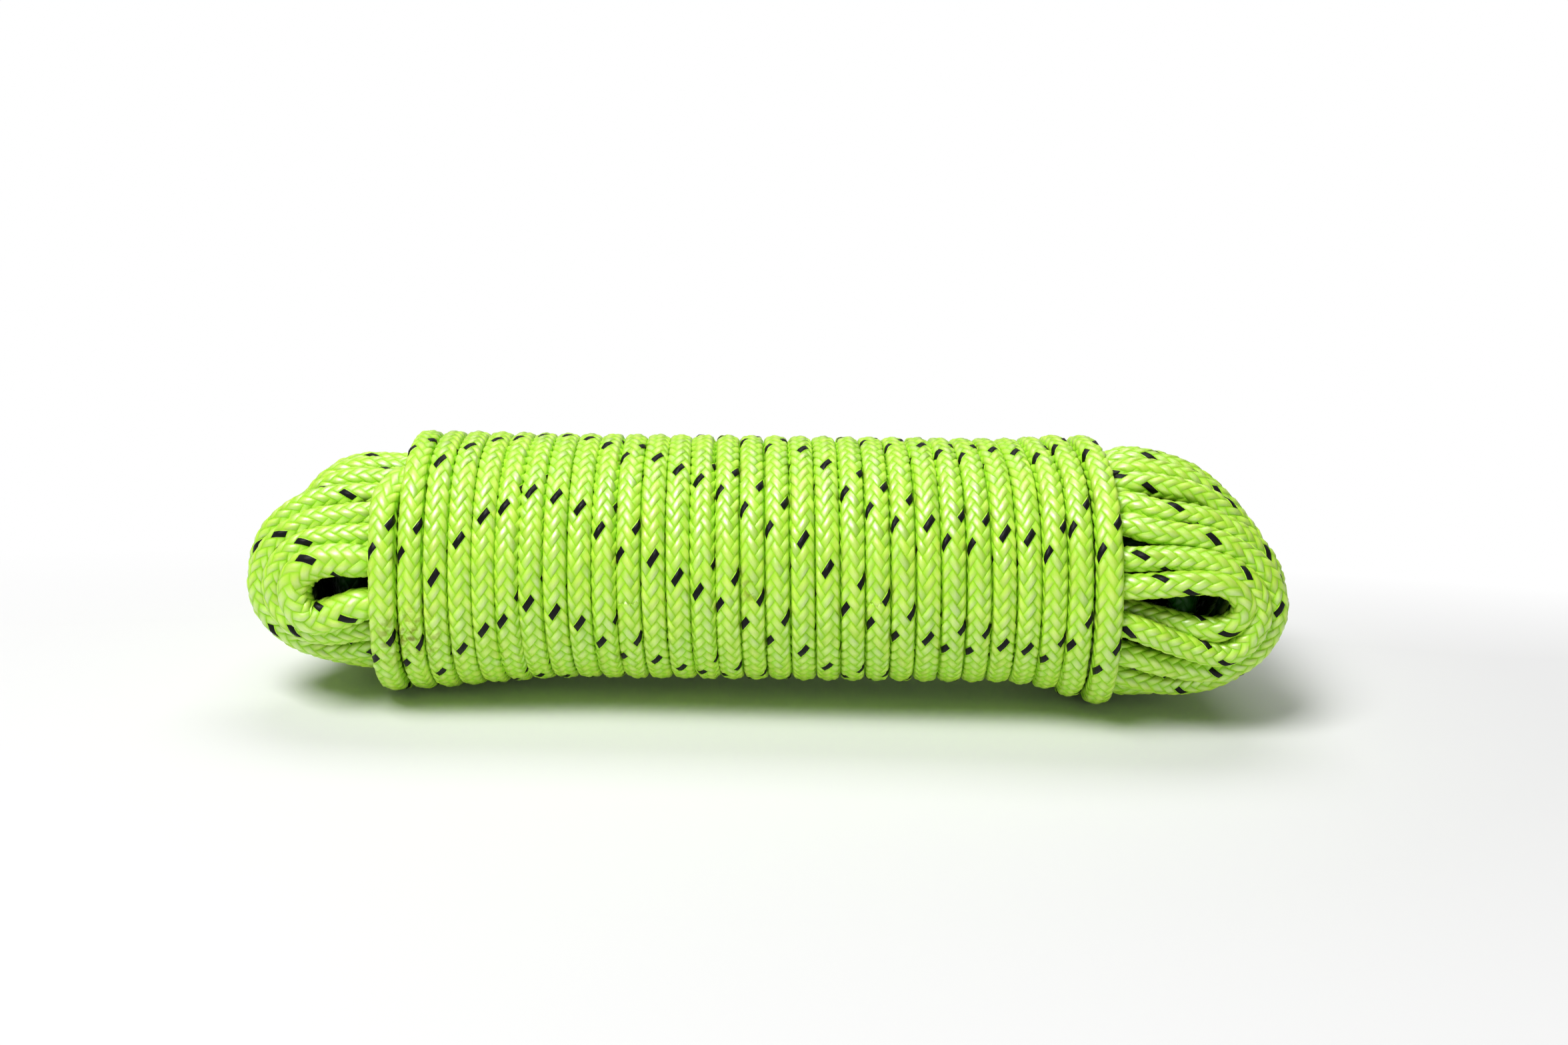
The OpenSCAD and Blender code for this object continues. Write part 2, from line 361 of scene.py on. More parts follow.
def hankPath():
    under = bundle["ring"]
    rows = {
        "right": loopRows(rightEnd, folds["rightLoops"]),
        "left": loopRows(leftEnd, folds["leftLoops"]),
    }
    turnsBack = folds["order"].index(folds["rightLoops"])
    points = [np.array(folds["start"])]
    lastAngle = None
    for k, number in enumerate(folds["order"]):
        name = "left" if k % 2 else "right"
        row = rows[name][number - 1]
        shape = loopPoints(leftEnd if k % 2 else rightEnd, row, under)
        angles = (row[0], row[7])  # of its upper and its lower leg
        upperFirst = (name == "right") == (k < turnsBack)
        if not upperFirst:
            shape = shape[::-1]
            angles = angles[::-1]
        if lastAngle is not None:
            first = angles[0]
            while first - lastAngle > 180:
                first -= 360
            while first - lastAngle < -180:
                first += 360
            points.append(hiddenRun(points[-1][-1], lastAngle, shape[0], first, under))
        points.append(shape)
        lastAngle = angles[1]
    points.append(hiddenRun(points[-1][-1], lastAngle, binding["leadIn"][0], folds["leadAngle"], under))
    return points


wound, joint = windingPath()
hank = hankPath()
frontKnots = np.vstack(hank[:folds["frontParts"]])
backKnots = np.vstack([frontKnots[-1:]] + hank[folds["frontParts"]:] + [joint[None]])
frontHank = smoothPath(frontKnots)
backHank = smoothPath(backKnots)

# a second, smaller ring of loops inside the outer one
innerRing = {
    "loops": 9,
    "under": 2.93,  # radius of its runs under the binding
    "inset": 1.05,  # how far it lies inside the outer loops
    "first": 20,  # angle of the front loop's legs
    "spread": 140,
    "leftReach": 2.1,
    "rightReach": 3.6,
    "shorter": 0.9,  # how much less far its front and back loops reach
    "step": 0.15,
}


def innerPath():
    under, inset = innerRing["under"], innerRing["inset"]
    last = innerRing["loops"] - 1
    rows = {"left": [], "right": []}
    for name, end in (("left", leftEnd), ("right", rightEnd)):
        for k in range(last + 1):
            a = innerRing["first"] + innerRing["spread"] * k / last
            z = (end["ring"] - inset) * math.sin(math.radians(a))
            reach = innerRing[name + "Reach"] - innerRing["shorter"] * abs(k - last / 2) / (last / 2)
            rows[name].append((a, 1.0, z, reach, 0.0, 1.0, -z, -a, 0.0))
    points = []
    for k in range(last + 1):
        angle = rows["right"][k][0]
        right = loopPoints(rightEnd, rows["right"][k], under, inset)
        if k > 0:
            points.append(hiddenRun(points[-1][-1], rows["left"][k - 1][0], right[0], angle, under))
        points.append(right)
        if k < last:
            left = loopPoints(leftEnd, rows["left"][k], under, inset)[::-1]
            points.append(hiddenRun(right[-1], -angle, left[0], -rows["left"][k][0], under))
            points.append(left)
    return smoothPath(np.vstack(points), innerRing["step"])


inner = innerPath()
for name, path in (("front loops", frontHank), ("back loops", backHank), ("binding", wound),
                   ("inner loops", inner)):
    print("scene:", name, "take", round(runLength(path)[-1] * unit, 2), "m of cord")


# braided cord

spine = {"left": edgeLeft - 1.0, "right": edgeRight + 2.2}  # ends of the hank's middle line


def outwardFrom(points):
    # away from the middle line, the side of the cord that everything is turned from
    x = np.clip(points[:, 0], spine["left"], spine["right"])
    z = axisHeight(points[:, 0])
    return points - np.stack([x, 0 * x, z], -1)


def unitRows(v):
    return v / np.linalg.norm(v, axis=1)[:, None]


def cordFrames(points):
    # two directions across the cord, outwards and sideways
    along = unitRows(np.gradient(points, axis=0))
    out = outwardFrom(points)
    out = unitRows(out - (out * along).sum(1)[:, None] * along)
    return out, np.cross(along, out)


braid = {
    "strands": 16,
    "cuts": [0.0, 0.22, 0.78],  # where each crossing is cut across a strand
    "coarse": [0.0, 0.5],  # the same for the inner loops
    "tracer": 0,  # number of the dark strand
    "sideCurve": 0.7,  # how steeply a float falls to its sides, and to its ends
    "endCurve": 1.9,
    "uneven": 0.35,  # how much one float may stand lower than the next
    "tilt": 0.45,  # and how much one side of it may stand higher than the other
}
flatStrip = {
    "width": 24,  # of a cord's skin laid flat for baking, where one row of the braid is 1
    "beside": 1,  # free space on both sides of it
    "ends": 5,  # and at its two ends together
    "shape": 0.034,  # sets how many strips the rows are shared out over
}


def rowAt(leads, index, n):
    # which row of the braid comes at a point of the path
    return float(np.interp(index, np.arange(len(leads)), leads)) * braid["strands"] * n


def braidTube(path, leads, roll, half, power, low, high, cuts):
    # The wall of a cord as 16 strands, 8 each way, over two and under two.
    # p and q count the strands of the two families, (p + q) runs round the cord, (q - p) along it.
    n = len(cuts)
    strands = braid["strands"]
    columns = strands // 2 * n
    out, across = cordFrames(path)
    index = np.arange(len(path))
    row, a = np.meshgrid(np.arange(low, high + 1), np.arange(columns), indexing="ij")
    b = a + row
    cut = np.array(cuts)
    p = a // n + cut[a % n]
    q = b // n + cut[b % n]
    at = np.interp((q - p) / strands, leads, index)
    centre, outAt, acrossAt = [
        np.stack([np.interp(at, index, v[:, k]) for k in range(3)], -1) for v in (path, out, across)
    ]
    angle = 2 * np.pi * (p + q) / strands + np.interp(at, index, roll)

    # height over the crease, from the place across and along each strand's float
    i, j = a // n, b // n
    fa, fb = cut[a % n], cut[b % n]
    step = (i + j) % 4
    overR = (step < 2) & (fa > 0)
    overL = (step >= 2) & (fb > 0)
    acrossFloat = np.where(overR, fa, fb)
    alongFloat = np.where(overR, step + fb, step - 2 + fa)
    inside = (overR & ((fb > 0) | (step == 1))) | (overL & ((fa > 0) | (step == 3)))
    sides = np.clip(1 - (2 * acrossFloat - 1) ** 2, 0, 1) ** braid["sideCurve"]
    crown = sides * (1 - np.abs(alongFloat - 1) ** braid["endCurve"])
    # a number for each float, the same all over it, makes it stand and lean its own way
    floatR = i * 31 + (j - (step == 1)) * 7
    floatL = j * 37 + (i - (step == 3)) * 11 + 5
    uneven = np.mod(np.sin(np.where(overR, floatR, floatL) * 12.9898) * 437.585, 1.0)
    tilt = np.mod(uneven * 17.3, 1.0) * 2 - 1
    crown = crown * (1 - braid["uneven"] * uneven) * (1 + braid["tilt"] * tilt * (2 * acrossFloat - 1))
    crown = np.where(inside, crown, 0.0)
    halfAt, powerAt = np.interp(at, index, half), np.interp(at, index, power)
    shape = (np.abs(np.cos(angle)) ** powerAt + np.abs(np.sin(angle)) ** powerAt) ** (-1 / powerAt)
    radius = halfAt * shape + cord["relief"] * crown
    verts = centre + outAt * (radius * np.cos(angle))[..., None]
    verts = verts + acrossAt * (radius * np.sin(angle))[..., None]

    # each face is a small diamond, so that the creases run along its sides
    ids = np.arange(row.size).reshape(row.shape)
    nextIds = np.roll(ids, -1, axis=1)
    quads = np.stack([ids[1:-1], nextIds[:-2], nextIds[1:-1], ids[2:]], -1).reshape(-1, 4)
    faceStep, faceI, faceA, faceB, faceRow = [
        v[1:-1].reshape(-1) for v in (step, i, a, b, row - low)
    ]
    isR = faceStep < 2
    nextCut = np.array(list(cuts[1:]) + [1.0])
    a0, a1 = cut[faceA % n], nextCut[faceA % n]
    b0, b1 = cut[faceB % n], nextCut[faceB % n]
    cornerP = np.stack([a0, a1, a1, a0], -1)
    cornerQ = np.stack([b0, b0, b1, b1], -1)
    yarnU = np.where(isR[:, None], faceStep[:, None] + cornerQ, faceStep[:, None] - 2 + cornerP)
    yarnV = np.where(isR[:, None], cornerP, cornerQ)
    number = np.where(isR, floatR[1:-1].reshape(-1), floatL[1:-1].reshape(-1))
    tracer = (isR & (faceI % (strands // 2) == braid["tracer"])).astype(float)

    # both ends are closed with a fan to a point on the middle line
    ends = []
    for k, at0 in ((0, at[1].mean()), (-1, at[-2].mean())):
        ends.append([np.interp(at0, index, path[:, c]) for c in range(3)])
    first, second = row.size, row.size + 1
    side, top = ids[1], nextIds[0]
    caps = [np.stack([np.full(columns, first), top, side], -1),
            np.stack([np.full(columns, first), nextIds[1], top], -1)]
    side, top = ids[-2], ids[-1]
    caps += [np.stack([np.full(columns, second), side, top], -1),
             np.stack([np.full(columns, second), top, nextIds[-2]], -1)]
    return {
        "verts": np.vstack([verts.reshape(-1, 3), ends]), "quads": quads, "caps": np.vstack(caps),
        "yarn": np.stack([yarnU, yarnV], -1), "number": number, "tracer": tracer,
        "crown": np.append(crown.reshape(-1), [0, 0]),
        "outward": np.append(np.cos(angle).reshape(-1), [-1, -1]),
        "column": np.append(a.reshape(-1), [-1, -1]), "row": np.append(row.reshape(-1), [0, 0]),
        "flatA": np.stack([faceA, faceA + 1, faceA + 1, faceA], -1) * flatStrip["width"] / columns,
        "flatRow": faceRow, "flatUp": np.array([0.0, -1.0, 0.0, 1.0]),
    }


def plainTube(path, first, last, radius, sides=10, step=5):
    # a smooth stretch that nothing but other cord can be seen beside
    out, across = cordFrames(path)
    keep = np.arange(first, last + 1, step)
    angle = 2 * np.pi * np.arange(sides) / sides
    verts = (path[keep][:, None] + radius * np.cos(angle)[None, :, None] * out[keep][:, None]
             + radius * np.sin(angle)[None, :, None] * across[keep][:, None])
    ids = np.arange(len(keep) * sides).reshape(len(keep), sides)
    nextIds = np.roll(ids, -1, axis=1)
    quads = np.stack([ids[:-1], nextIds[:-1], nextIds[1:], ids[1:]], -1).reshape(-1, 4)
    caps = []
    for ring in (ids[0][::-1], ids[-1]):
        caps.append(np.stack([np.full(sides - 2, ring[0]), ring[1:-1], ring[2:]], -1))
    count = len(verts) * sides
    lane = np.tile(np.arange(sides), len(keep) - 1)
    # painted shade: an outward of -1 paints the whole stretch in the dark green of shade
    return {
        "verts": verts.reshape(-1, 3), "quads": quads, "caps": np.vstack(caps),
        "yarn": np.full((len(quads), 4, 2), 0.5), "number": np.zeros(len(quads)),
        "tracer": np.zeros(len(quads)), "crown": np.full(count, 0.5), "outward": np.full(count, -1.0),
        "column": np.full(count, -1), "row": np.zeros(count, int),
        "flatA": np.stack([lane, lane + 1, lane + 1, lane], -1) * (flatStrip["width"] / sides),
        "flatRow": np.repeat(np.arange(len(keep) - 1), sides), "flatUp": np.array([-0.5, -0.5, 0.5, 0.5]),
    }


def bakeStrips(shells):
    # a flat place for every face: the cord cut into strips that lie side by side
    ends = flatStrip["ends"]
    pitch = flatStrip["width"] + 2 * flatStrip["beside"]
    lengths = [shell["flatRow"].max() + ends for shell in shells]
    count = max(1, int(round(math.sqrt(sum(lengths) * flatStrip["shape"]))))
    strip = int(math.ceil(sum(lengths) / count))
    places = []
    start = 0
    for shell, length in zip(shells, lengths):
        rowHere = shell["flatRow"] + start
        lane = rowHere // strip
        u = (lane[:, None] * pitch + flatStrip["beside"] + shell["flatA"]) / (pitch * count)
        v = (rowHere - lane * strip)[:, None] + ends / 2 + shell["flatUp"]
        places.append(np.stack([u, v / (strip + ends)], -1))
        start += length
    return places


def buildCord(name, shells, cuts):
    n = len(cuts)
    corners, sizes, yarns, flats, numbers, tracers = [], [], [], [], [], []
    base = 0
    for shell, flat in zip(shells, bakeStrips(shells)):
        quads, caps = shell["quads"] + base, shell["caps"] + base
        corners += [quads.reshape(-1), caps.reshape(-1)]
        sizes += [np.full(len(quads), 4), np.full(len(caps), 3)]
        yarns += [shell["yarn"].reshape(-1, 2), np.full((len(caps) * 3, 2), 0.5)]
        flats += [flat.reshape(-1, 2), np.tile(flat[0].mean(0), (len(caps) * 3, 1))]
        numbers += [shell["number"], np.zeros(len(caps))]
        tracers += [shell["tracer"], np.zeros(len(caps))]
        base += len(shell["verts"])
    corners, sizes = np.concatenate(corners), np.concatenate(sizes)
    mesh = bpy.data.meshes.new(name)
    mesh.vertices.add(base)
    places = np.vstack([shell["verts"] for shell in shells]) * unit
    mesh.vertices.foreach_set("co", places.astype(np.float32).reshape(-1))
    mesh.loops.add(len(corners))
    mesh.loops.foreach_set("vertex_index", corners.astype(np.int32))
    mesh.polygons.add(len(sizes))
    mesh.polygons.foreach_set("loop_start", (np.cumsum(sizes) - sizes).astype(np.int32))
    mesh.update(calc_edges=True)
    mesh.validate()
    mesh.shade_smooth()

    # creases between strands stay sharp
    ends = np.zeros(len(mesh.edges) * 2, np.int32)
    mesh.edges.foreach_get("vertices", ends)
    ends = ends.reshape(-1, 2)
    column = np.concatenate([shell["column"] for shell in shells])
    row = np.concatenate([shell["row"] for shell in shells])
    c0, c1 = column[ends[:, 0]], column[ends[:, 1]]
    r0, r1 = row[ends[:, 0]], row[ends[:, 1]]
    woven = (c0 >= 0) & (c1 >= 0)
    lowB = np.minimum(c0 + r0, c1 + r1)
    sharp = woven & (c0 == c1) & (c0 % n == 0) & ((c0 // n + lowB // n) % 4 != 3)
    lowA = np.where(r0 > r1, c0, c1)
    line = lowA + np.maximum(r0, r1)
    sharp |= woven & (c0 != c1) & (line % n == 0) & ((lowA // n + line // n) % 4 != 1)
    mesh.attributes.new("sharp_edge", "BOOLEAN", "EDGE").data.foreach_set("value", sharp)

    for label, values in (("yarn", yarns), ("OFBake", flats)):
        layer = mesh.uv_layers.new(name=label)
        layer.data.foreach_set("uv", np.vstack(values).astype(np.float32).reshape(-1))
    perPoint = {key: [shell[key] for shell in shells] for key in ("crown", "outward")}
    for label, values, domain in (("number", numbers, "FACE"), ("tracer", tracers, "FACE"),
                                  ("crown", perPoint["crown"], "POINT"),
                                  ("outward", perPoint["outward"], "POINT")):
        layer = mesh.attributes.new(label, "FLOAT", domain)
        layer.data.foreach_set("value", np.concatenate(values).astype(np.float32))
    piece = bpy.data.objects.new(name, mesh)
    bpy.context.scene.collection.objects.link(piece)
    return piece


def stretches(mask):
    # stretches of a path where the mask holds, and those between them
    change = np.flatnonzero(np.diff(mask.astype(int))) + 1
    bounds = np.concatenate([[0], change, [len(mask) - 1]])
    return [(bounds[k], bounds[k + 1], bool(mask[bounds[k]])) for k in range(len(bounds) - 1)]


# where the dark strand faces outwards, in degrees up from the front, turn by turn
tracerFaces = [(0, 30), (1, 27), (2, 11), (3, 28), (4, 38), (6, 51), (8, 40), (10, 25), (12, 10), (14, 4),
               (16, -14), (19, -49), (22, -69), (27, -75), (28, -61), (29.5, -76)]
# and how far the braid is rolled there
strandRoll = [(0, 45), (1, 45), (2, 0), (4, 0), (5, 22), (6.5, 0), (8, 0), (10, 45), (11, 90), (12, 90),
              (14, 135), (16, 135), (17, 180), (18, 180), (19, 225), (21, 225), (22, 270), (23, 315),
              (24, 315), (25, 360), (26, 360), (27, 405), (29.5, 405)]
windingWeave = {
    "leads": 7,  # how often a strand goes round the cord in one turn of the binding
    "ahead": -0.0625,  # parts of a lead that bring the dark strand to its place
    "roll": -33.75,
    "smooth": 39,  # points on both sides over which these tables are evened out
    "after": 0.28,  # part of the turn after the last that is still wound
    "cutTurns": (10, 20),  # where the binding is cut into its pieces
    # points of the path up to and from which it is woven, and up to and from which it is plain
    "wovenFrom": 40,
    "wovenTo": -15,
    "plainTo": 45,
    "plainFrom": -21,
    "plainRadius": 0.45,
    "slackUntil": 0.7,  # turns outside which the cord swells, and how soon it does
    "slackUntilFade": 0.6,
    "slackFrom": 28.4,
    "slackFromFade": 0.5,
}


def bindingBraid(path):
    weave = windingWeave
    # turns so far at each point, from the angle round the bundle
    centre = np.stack([0 * path[:, 0], axisHeight(path[:, 0])], -1)
    angle = np.unwrap(np.arctan2(path[:, 2] - centre[:, 1], -(path[:, 1] - centre[:, 0])))
    run = runLength(path)
    turn = -angle / (2 * math.pi)
    turn = turn - np.round(turn[0] + binding["leadIn"][0][1] / 360)
    facing = np.interp(turn, *np.array(tracerFaces, float).T)
    roll = np.interp(turn, *np.array(strandRoll, float).T) + weave["roll"]
    facing, roll = smoothed(facing, weave["smooth"]), smoothed(roll, weave["smooth"])
    leads = weave["leads"] * turn + facing / (360 / weave["leads"]) + weave["ahead"] - roll / 360
    # the lead-in and the tuck run along the hank, so there the length decides
    first, last = np.searchsorted(turn, 0.0), np.searchsorted(turn, lastTurn + weave["after"])
    leads[:first] = leads[first] + (run[:first] - run[first]) / cord["lead"]
    leads[last:] = leads[last] + (run[last:] - run[last]) / cord["lead"]
    return leads, np.radians(roll), turn


def weaveBinding(path):
    # the binding's pieces, each with its part of the path
    weave = windingWeave
    leads, roll, turn = bindingBraid(path)
    n = len(braid["cuts"])
    index = np.arange(len(path))
    slack = ease((weave["slackUntil"] - turn) / weave["slackUntilFade"])
    slack = slack + ease((turn - weave["slackFrom"]) / weave["slackFromFade"])
    half = binding["half"] + binding["endSwell"] * slack
    power = np.full(len(path), binding["squareness"])
    cuts = [int(round(rowAt(leads, np.searchsorted(turn, cut), n))) for cut in weave["cutTurns"]]
    lows = [int(rowAt(leads, weave["wovenFrom"], n)) + 1] + cuts
    highs = [cut + 1 for cut in cuts] + [int(rowAt(leads, len(path) + weave["wovenTo"], n))]
    made = []
    for letter, low, high in zip("abc", lows, highs):
        shells = [braidTube(path, leads, roll, half, power, low, high, braid["cuts"])]
        first = int(np.interp(low / braid["strands"] / n, leads, index))
        last = int(np.interp(high / braid["strands"] / n, leads, index)) + 1
        if letter == "a":
            first = 0
            shells.append(plainTube(path, first, weave["plainTo"], weave["plainRadius"]))
        if letter == "c":
            last = len(path)
            shells.append(plainTube(path, last + weave["plainFrom"], last - 1, weave["plainRadius"]))
        made.append((buildCord("binding." + letter, shells, braid["cuts"]), path[first:last]))
    return made


pieces = weaveBinding(wound)
print("scene: binding woven")


loose = {
    "half": 0.488,
    "squareness": 2.15,
    "eyeSwell": 0.17,  # the front loop on the left is slack, and stands fuller
    "eyeFrom": -19.55,  # from this place along the hank to a little outside the binding
    "eyeTo": 0.2,
    "eyeDepth": -3.2,
    "eyeHeight": 5.45,
    "eyeReach": 1.35,
    "eyeSmooth": 6,
    "leftMargin": 2.4,  # how far inside the edges of the binding the cord is still woven
    "rightMargin": 1.6,
    "shortest": 12,  # points of a path below which no stretch is made
    "wovenOver": 6,  # points by which woven and plain stretches go on past their ends
    "plainOver": 4,
    "plainRadius": 0.5,
}

# along the cord: how far the dark strand has turned beyond its even lead, and the roll of the braid
frontTwist = [(7, 0.32, 11), (12.5, 0.24, 60), (48, 0.08, 38), (53, 0.08, 38), (86, 0.48, 42),
              (90, 0.53, 42), (95, 0.59, 42), (98.4, 0.65, 46), (132, 0.93, 68), (137, 0.93, 68),
              (173.7, 0.58, 68), (178, 0.72, 98), (182, 0.81, 95), (225, 0.86, 72), (262, 0.49, 45),
              (266, 0.62, 65), (274, 0.87, 82), (315, 0.41, 78), (320, 0.44, 92), (352, 0.07, 30),
              (356, 0.08, 34)]
backTwist = [(0, 0.78, 10), (38, 0.80, 18), (70, 0.78, 12)]
innerTwist = [(0, 0.10, 10)]


def weaveLoops(name, path, twist, cuts):
    run = runLength(path)
    at, facing, roll = np.array(twist, float).T
    roll = np.interp(run, at, roll)
    leads = run / cord["lead"] + np.interp(run, at, facing) - roll / 360
    roll = np.radians(roll)
    seen = path[:, 0] < edgeLeft + loose["leftMargin"]
    seen |= path[:, 0] > edgeRight - loose["rightMargin"]
    eye = (path[:, 0] < edgeLeft - loose["eyeTo"]) & (path[:, 0] > loose["eyeFrom"])
    eye &= (path[:, 1] < loose["eyeDepth"]) & (np.abs(path[:, 2] - loose["eyeHeight"]) < loose["eyeReach"])
    half = loose["half"] + loose["eyeSwell"] * smoothed(eye, loose["eyeSmooth"])
    power = np.full(len(path), loose["squareness"])
    count = len(cuts)
    shells = []
    for first, last, woven in stretches(seen):
        if last - first < loose["shortest"]:
            continue
        over = loose["wovenOver"] if woven else loose["plainOver"]
        first, last = max(0, first - over), min(len(path) - 1, last + over)
        if woven:
            low, high = int(rowAt(leads, first, count)) + 1, int(rowAt(leads, last, count))
            shells.append(braidTube(path, leads, roll, half, power, low, high, cuts))
        else:
            shells.append(plainTube(path, first, last, loose["plainRadius"]))
    return buildCord(name, shells, cuts)


pieces.append((weaveLoops("hank.front", frontHank, frontTwist, braid["cuts"]), frontHank))
pieces.append((weaveLoops("hank.back", backHank, backTwist, braid["cuts"]), backHank))
innerPiece = weaveLoops("inner.loops", inner, innerTwist, braid["coarse"])
# painted shade: the inner loops are painted dark all round, as lying in shade
shade = innerPiece.data.attributes["outward"]
shade.data.foreach_set("value", np.full(len(shade.data), -1.0, np.float32))
print("scene: loops woven")
for piece in [piece for piece, _ in pieces] + [innerPiece]:
    print("scene:", piece.name, "has", sum(len(p.vertices) - 2 for p in piece.data.polygons), "triangles")


# materials


class Value:
    # a number from a socket, so that shader maths reads as plain arithmetic
    def __init__(self, sheet, socket):
        self.sheet = sheet
        self.socket = socket

    def math(self, operation, other=None, swap=False):
        pair = [self.socket, other.socket if isinstance(other, Value) else other]
        if swap:
            pair.reverse()
        inputs = {0: pair[0]} if other is None else {0: pair[0], 1: pair[1]}
        made = self.sheet.node("ShaderNodeMath", {"operation": operation}, inputs)
        return Value(self.sheet, made.outputs[0])

    def __add__(self, other):
        return self.math("ADD", other)

    __radd__ = __add__

    def __mul__(self, other):
        return self.math("MULTIPLY", other)

    __rmul__ = __mul__

    def __sub__(self, other):
        return self.math("SUBTRACT", other)

    def __rsub__(self, other):
        return self.math("SUBTRACT", other, swap=True)

    def __pow__(self, other):
        return self.math("POWER", other)

    def __abs__(self):
        return self.math("ABSOLUTE")

    def clamp(self):
        return self.math("MAXIMUM", 0.0).math("MINIMUM", 1.0)


class Sheet:
    # one material's node tree
    def __init__(self, name):
        self.material = bpy.data.materials.new(name)
        self.material.use_nodes = True
        self.tree = self.material.node_tree
        self.shader = self.tree.nodes["Principled BSDF"]
        self.output = self.tree.nodes["Material Output"]

    def node(self, kind, settings=None, inputs=None):
        made = self.tree.nodes.new(kind)
        for key, value in (settings or {}).items():
            if key == "stops":
                while len(made.color_ramp.elements) < len(value):
                    made.color_ramp.elements.new(1.0)
                for element, (place, colour) in zip(made.color_ramp.elements, value):
                    element.position = place
                    element.color = colour
            else:
                setattr(made, key, value)
        for key, value in (inputs or {}).items():
            self.feed(made.inputs[key], value)
        return made

    def feed(self, socket, value):
        if isinstance(value, Value):
            value = value.socket
        if isinstance(value, bpy.types.NodeSocket):
            self.tree.links.new(value, socket)
        else:
            socket.default_value = value

    def value(self, kind, settings=None, inputs=None, output=0):
        return Value(self, self.node(kind, settings, inputs).outputs[output])

    def mix(self, factor, first, second):
        made = self.node("ShaderNodeMix", {"data_type": "RGBA"})
        self.feed(made.inputs[0], factor)
        self.feed(made.inputs[6], first)
        self.feed(made.inputs[7], second)
        return made.outputs[2]

    def attribute(self, name):
        return self.value("ShaderNodeAttribute", {"attribute_name": name}, output=2)


def linear(r, g, b):
    # a colour as picked on screen, 0 to 255
    parts = [c / 255 / 12.92 if c <= 10 else ((c / 255 + 0.055) / 1.055) ** 2.4 for c in (r, g, b)]
    return tuple(parts) + (1.0,)


strandLook = {
    "lime": linear(205, 239, 68),
    "deepLime": linear(176, 228, 38),
    # painted shade: the dark green of the creases between floats, where shade falls
    "crease": linear(100, 206, 4),
    # painted sheen: pale streaks on the crowns of the floats
    "sheenLime": linear(230, 246, 120),
    # painted shade: the colour of strands that lie in shade inside the hank
    "hidden": linear(12, 56, 4),
    "tracer": linear(12, 12, 14),
    "soil": linear(104, 92, 28),
    "roughness": 0.42,
    "roughnessChange": 0.3,  # with the streaks
    "gloss": 1.0,
    "glossRate": 1.5,  # how soon the gloss comes up towards a crown
    "glossLeast": 0.65,  # and how it changes from float to float
    "glossChange": 0.6,
    "glossRoughness": 0.42,
    "glossIor": 2.7,
    "specular": 0.15,
    "dome": 0.00022,  # this and the next two are heights in metres
    "lean": 0.0012,
    "filament": 0.00004,
    "tracerHalf": 0.42,  # how much of the dark strand's half width shows, and how sharply it ends
    "tracerSides": 26,
    "tracerLength": 0.98,
    "tracerEnds": 16,
    "streaks": (0.5, 11.0, 0.37),  # along and across a float, and from one float to the next
    "paleFrom": 0.45,  # which streaks are painted pale as sheen, how sharply and how strongly
    "paleRate": 2.2,
    "paleShare": 0.7,
    "patches": 38.0,  # how fine the slow change of colour is
    "patchShare": 0.5,
    "floatShare": 0.5,  # the change of colour from float to float
    "deepFrom": 0.05,
    "creaseShadeSides": 0.27,  # painted crease shade: how far a float is painted towards the crease colour at its sides, and at its ends
    "creaseShadeEnds": 0.26,
    "darkFrom": -0.08,  # painted shade: from where inwards a strand is painted dark, as lying in shade
    "darkRate": 1.4,
    "grain": 420.0,
    "soilFrom": 0.48,  # how much of the grain is soiled, how sharply and how strongly
    "soilRate": 7,
    "soilShare": 0.8,
}
# places and reaches in metres
soilSpots = [((-0.0875, -0.0315, 0.0235), 0.012), ((-0.0048, -0.0320, 0.0375), 0.0044)]


